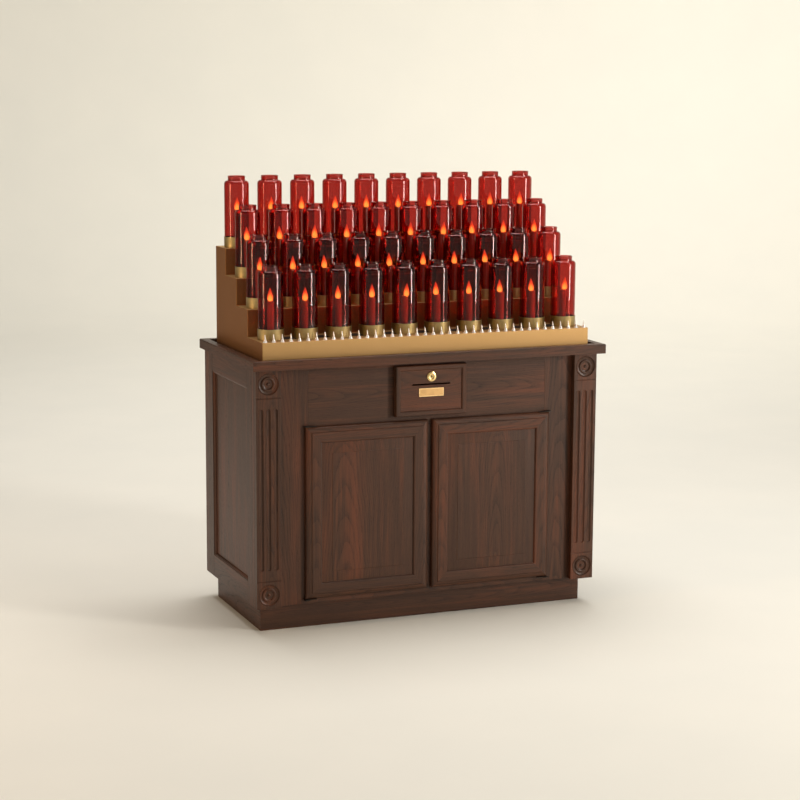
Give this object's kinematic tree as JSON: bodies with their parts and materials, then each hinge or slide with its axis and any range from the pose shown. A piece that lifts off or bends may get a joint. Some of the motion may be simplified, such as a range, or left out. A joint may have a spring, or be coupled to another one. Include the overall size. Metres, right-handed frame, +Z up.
{
  "type": "votive candle rack",
  "caption": "Electric votive candle rack: oak cabinet with doors and a locking offering drawer, under a stepped metal rack of ruby glass candle lamps with a rail of toggle switches.",
  "frame": {"origin": "centre of the cabinet top's outline, at floor level", "axes": "+Z up; -Y is the front with the doors and switches; +X is to the right for a person facing the front"},
  "size_m": [1.092, 0.52, 1.276],
  "materials": {
    "stained_oak": "dark walnut stain under satin lacquer",
    "plain_wood": "unstained, sealed",
    "gold_paint": "satin gold paint",
    "ruby_glass": "clear ruby glass",
    "polished_brass": "polished",
    "bright_nickel": "bright",
    "candle_tube": "satin",
    "flame_bulb": "glowing",
    "dark_metal": "dark"
  },
  "bodies": {
    "cabinet": {"cabinet_base": "stained_oak", "side_panel_left": "stained_oak", "side_panel_right": "stained_oak", "cabinet_back": "stained_oak", "face_frame": "stained_oak", "pilaster_left": "stained_oak", "pilaster_right": "stained_oak", "cabinet_top": "stained_oak", "drawer_cradle": "plain_wood", "rack_housing": "gold_paint", "lamp_row_1": "ruby_glass", "lamp_row_2": "ruby_glass", "lamp_row_3": "ruby_glass", "lamp_row_4": "ruby_glass"},
    "door_left": {"door_left": "stained_oak"},
    "door_right": {"door_right": "stained_oak"},
    "drawer": {"drawer_front": "stained_oak", "drawer_box": "plain_wood", "label_plate": "polished_brass"},
    "lock": {"lock_plug": "polished_brass"},
    "toggle_01": {"toggle_01": "bright_nickel"},
    "toggle_02": {"toggle_02": "bright_nickel"},
    "toggle_03": {"toggle_03": "bright_nickel"},
    "toggle_04": {"toggle_04": "bright_nickel"},
    "toggle_05": {"toggle_05": "bright_nickel"},
    "toggle_06": {"toggle_06": "bright_nickel"},
    "toggle_07": {"toggle_07": "bright_nickel"},
    "toggle_08": {"toggle_08": "bright_nickel"},
    "toggle_09": {"toggle_09": "bright_nickel"},
    "toggle_10": {"toggle_10": "bright_nickel"},
    "toggle_11": {"toggle_11": "bright_nickel"},
    "toggle_12": {"toggle_12": "bright_nickel"},
    "toggle_13": {"toggle_13": "bright_nickel"},
    "toggle_14": {"toggle_14": "bright_nickel"},
    "toggle_15": {"toggle_15": "bright_nickel"},
    "toggle_16": {"toggle_16": "bright_nickel"},
    "toggle_17": {"toggle_17": "bright_nickel"},
    "toggle_18": {"toggle_18": "bright_nickel"},
    "toggle_19": {"toggle_19": "bright_nickel"},
    "toggle_20": {"toggle_20": "bright_nickel"},
    "toggle_21": {"toggle_21": "bright_nickel"},
    "toggle_22": {"toggle_22": "bright_nickel"},
    "toggle_23": {"toggle_23": "bright_nickel"},
    "toggle_24": {"toggle_24": "bright_nickel"},
    "toggle_25": {"toggle_25": "bright_nickel"},
    "toggle_26": {"toggle_26": "bright_nickel"},
    "toggle_27": {"toggle_27": "bright_nickel"},
    "toggle_28": {"toggle_28": "bright_nickel"},
    "toggle_29": {"toggle_29": "bright_nickel"},
    "toggle_30": {"toggle_30": "bright_nickel"},
    "toggle_31": {"toggle_31": "bright_nickel"},
    "toggle_32": {"toggle_32": "bright_nickel"},
    "toggle_33": {"toggle_33": "bright_nickel"},
    "toggle_34": {"toggle_34": "bright_nickel"},
    "toggle_35": {"toggle_35": "bright_nickel"},
    "toggle_36": {"toggle_36": "bright_nickel"},
    "toggle_37": {"toggle_37": "bright_nickel"},
    "toggle_38": {"toggle_38": "bright_nickel"},
    "toggle_39": {"toggle_39": "bright_nickel"},
    "toggle_40": {"toggle_40": "bright_nickel"}
  },
  "joints": [
    {"name": "door_left_hinge", "type": "hinge", "parent": "cabinet", "child": "door_left", "pos_m": [-0.378, -0.229, 0.34], "axis": [0, 0, -1], "range_deg": [0, 110]},
    {"name": "door_right_hinge", "type": "hinge", "parent": "cabinet", "child": "door_right", "pos_m": [0.378, -0.229, 0.34], "axis": [0, 0, 1], "range_deg": [0, 110]},
    {"name": "drawer_slide", "type": "slide", "parent": "cabinet", "child": "drawer", "axis": [0, -1, 0], "range_m": [0, 0.3]},
    {"name": "lock_turn", "type": "hinge", "parent": "drawer", "child": "lock", "pos_m": [0, -0.234, 0.716], "axis": [0, 1, 0], "range_deg": [0, 90]},
    {"name": "toggle_01_tilt", "type": "hinge", "parent": "cabinet", "child": "toggle_01", "pos_m": [-0.4953, -0.212, 0.8455], "axis": [1, 0, 0], "range_deg": [0, 26]},
    {"name": "toggle_02_tilt", "type": "hinge", "parent": "cabinet", "child": "toggle_02", "pos_m": [-0.4699, -0.212, 0.8455], "axis": [1, 0, 0], "range_deg": [0, 26]},
    {"name": "toggle_03_tilt", "type": "hinge", "parent": "cabinet", "child": "toggle_03", "pos_m": [-0.4445, -0.212, 0.8455], "axis": [1, 0, 0], "range_deg": [0, 26]},
    {"name": "toggle_04_tilt", "type": "hinge", "parent": "cabinet", "child": "toggle_04", "pos_m": [-0.4191, -0.212, 0.8455], "axis": [1, 0, 0], "range_deg": [0, 26]},
    {"name": "toggle_05_tilt", "type": "hinge", "parent": "cabinet", "child": "toggle_05", "pos_m": [-0.3937, -0.212, 0.8455], "axis": [1, 0, 0], "range_deg": [0, 26]},
    {"name": "toggle_06_tilt", "type": "hinge", "parent": "cabinet", "child": "toggle_06", "pos_m": [-0.3683, -0.212, 0.8455], "axis": [1, 0, 0], "range_deg": [0, 26]},
    {"name": "toggle_07_tilt", "type": "hinge", "parent": "cabinet", "child": "toggle_07", "pos_m": [-0.3429, -0.212, 0.8455], "axis": [1, 0, 0], "range_deg": [0, 26]},
    {"name": "toggle_08_tilt", "type": "hinge", "parent": "cabinet", "child": "toggle_08", "pos_m": [-0.3175, -0.212, 0.8455], "axis": [1, 0, 0], "range_deg": [0, 26]},
    {"name": "toggle_09_tilt", "type": "hinge", "parent": "cabinet", "child": "toggle_09", "pos_m": [-0.2921, -0.212, 0.8455], "axis": [1, 0, 0], "range_deg": [0, 26]},
    {"name": "toggle_10_tilt", "type": "hinge", "parent": "cabinet", "child": "toggle_10", "pos_m": [-0.2667, -0.212, 0.8455], "axis": [1, 0, 0], "range_deg": [0, 26]},
    {"name": "toggle_11_tilt", "type": "hinge", "parent": "cabinet", "child": "toggle_11", "pos_m": [-0.2413, -0.212, 0.8455], "axis": [1, 0, 0], "range_deg": [0, 26]},
    {"name": "toggle_12_tilt", "type": "hinge", "parent": "cabinet", "child": "toggle_12", "pos_m": [-0.2159, -0.212, 0.8455], "axis": [1, 0, 0], "range_deg": [0, 26]},
    {"name": "toggle_13_tilt", "type": "hinge", "parent": "cabinet", "child": "toggle_13", "pos_m": [-0.1905, -0.212, 0.8455], "axis": [1, 0, 0], "range_deg": [0, 26]},
    {"name": "toggle_14_tilt", "type": "hinge", "parent": "cabinet", "child": "toggle_14", "pos_m": [-0.1651, -0.212, 0.8455], "axis": [1, 0, 0], "range_deg": [0, 26]},
    {"name": "toggle_15_tilt", "type": "hinge", "parent": "cabinet", "child": "toggle_15", "pos_m": [-0.1397, -0.212, 0.8455], "axis": [1, 0, 0], "range_deg": [0, 26]},
    {"name": "toggle_16_tilt", "type": "hinge", "parent": "cabinet", "child": "toggle_16", "pos_m": [-0.1143, -0.212, 0.8455], "axis": [1, 0, 0], "range_deg": [0, 26]},
    {"name": "toggle_17_tilt", "type": "hinge", "parent": "cabinet", "child": "toggle_17", "pos_m": [-0.0889, -0.212, 0.8455], "axis": [1, 0, 0], "range_deg": [0, 26]},
    {"name": "toggle_18_tilt", "type": "hinge", "parent": "cabinet", "child": "toggle_18", "pos_m": [-0.0635, -0.212, 0.8455], "axis": [1, 0, 0], "range_deg": [0, 26]},
    {"name": "toggle_19_tilt", "type": "hinge", "parent": "cabinet", "child": "toggle_19", "pos_m": [-0.0381, -0.212, 0.8455], "axis": [1, 0, 0], "range_deg": [0, 26]},
    {"name": "toggle_20_tilt", "type": "hinge", "parent": "cabinet", "child": "toggle_20", "pos_m": [-0.0127, -0.212, 0.8455], "axis": [1, 0, 0], "range_deg": [0, 26]},
    {"name": "toggle_21_tilt", "type": "hinge", "parent": "cabinet", "child": "toggle_21", "pos_m": [0.0127, -0.212, 0.8455], "axis": [1, 0, 0], "range_deg": [0, 26]},
    {"name": "toggle_22_tilt", "type": "hinge", "parent": "cabinet", "child": "toggle_22", "pos_m": [0.0381, -0.212, 0.8455], "axis": [1, 0, 0], "range_deg": [0, 26]},
    {"name": "toggle_23_tilt", "type": "hinge", "parent": "cabinet", "child": "toggle_23", "pos_m": [0.0635, -0.212, 0.8455], "axis": [1, 0, 0], "range_deg": [0, 26]},
    {"name": "toggle_24_tilt", "type": "hinge", "parent": "cabinet", "child": "toggle_24", "pos_m": [0.0889, -0.212, 0.8455], "axis": [1, 0, 0], "range_deg": [0, 26]},
    {"name": "toggle_25_tilt", "type": "hinge", "parent": "cabinet", "child": "toggle_25", "pos_m": [0.1143, -0.212, 0.8455], "axis": [1, 0, 0], "range_deg": [0, 26]},
    {"name": "toggle_26_tilt", "type": "hinge", "parent": "cabinet", "child": "toggle_26", "pos_m": [0.1397, -0.212, 0.8455], "axis": [1, 0, 0], "range_deg": [0, 26]},
    {"name": "toggle_27_tilt", "type": "hinge", "parent": "cabinet", "child": "toggle_27", "pos_m": [0.1651, -0.212, 0.8455], "axis": [1, 0, 0], "range_deg": [0, 26]},
    {"name": "toggle_28_tilt", "type": "hinge", "parent": "cabinet", "child": "toggle_28", "pos_m": [0.1905, -0.212, 0.8455], "axis": [1, 0, 0], "range_deg": [0, 26]},
    {"name": "toggle_29_tilt", "type": "hinge", "parent": "cabinet", "child": "toggle_29", "pos_m": [0.2159, -0.212, 0.8455], "axis": [1, 0, 0], "range_deg": [0, 26]},
    {"name": "toggle_30_tilt", "type": "hinge", "parent": "cabinet", "child": "toggle_30", "pos_m": [0.2413, -0.212, 0.8455], "axis": [1, 0, 0], "range_deg": [0, 26]},
    {"name": "toggle_31_tilt", "type": "hinge", "parent": "cabinet", "child": "toggle_31", "pos_m": [0.2667, -0.212, 0.8455], "axis": [1, 0, 0], "range_deg": [0, 26]},
    {"name": "toggle_32_tilt", "type": "hinge", "parent": "cabinet", "child": "toggle_32", "pos_m": [0.2921, -0.212, 0.8455], "axis": [1, 0, 0], "range_deg": [0, 26]},
    {"name": "toggle_33_tilt", "type": "hinge", "parent": "cabinet", "child": "toggle_33", "pos_m": [0.3175, -0.212, 0.8455], "axis": [1, 0, 0], "range_deg": [0, 26]},
    {"name": "toggle_34_tilt", "type": "hinge", "parent": "cabinet", "child": "toggle_34", "pos_m": [0.3429, -0.212, 0.8455], "axis": [1, 0, 0], "range_deg": [0, 26]},
    {"name": "toggle_35_tilt", "type": "hinge", "parent": "cabinet", "child": "toggle_35", "pos_m": [0.3683, -0.212, 0.8455], "axis": [1, 0, 0], "range_deg": [0, 26]},
    {"name": "toggle_36_tilt", "type": "hinge", "parent": "cabinet", "child": "toggle_36", "pos_m": [0.3937, -0.212, 0.8455], "axis": [1, 0, 0], "range_deg": [0, 26]},
    {"name": "toggle_37_tilt", "type": "hinge", "parent": "cabinet", "child": "toggle_37", "pos_m": [0.4191, -0.212, 0.8455], "axis": [1, 0, 0], "range_deg": [0, 26]},
    {"name": "toggle_38_tilt", "type": "hinge", "parent": "cabinet", "child": "toggle_38", "pos_m": [0.4445, -0.212, 0.8455], "axis": [1, 0, 0], "range_deg": [0, 26]},
    {"name": "toggle_39_tilt", "type": "hinge", "parent": "cabinet", "child": "toggle_39", "pos_m": [0.4699, -0.212, 0.8455], "axis": [1, 0, 0], "range_deg": [0, 26]},
    {"name": "toggle_40_tilt", "type": "hinge", "parent": "cabinet", "child": "toggle_40", "pos_m": [0.4953, -0.212, 0.8455], "axis": [1, 0, 0], "range_deg": [0, 26]}
  ]
}
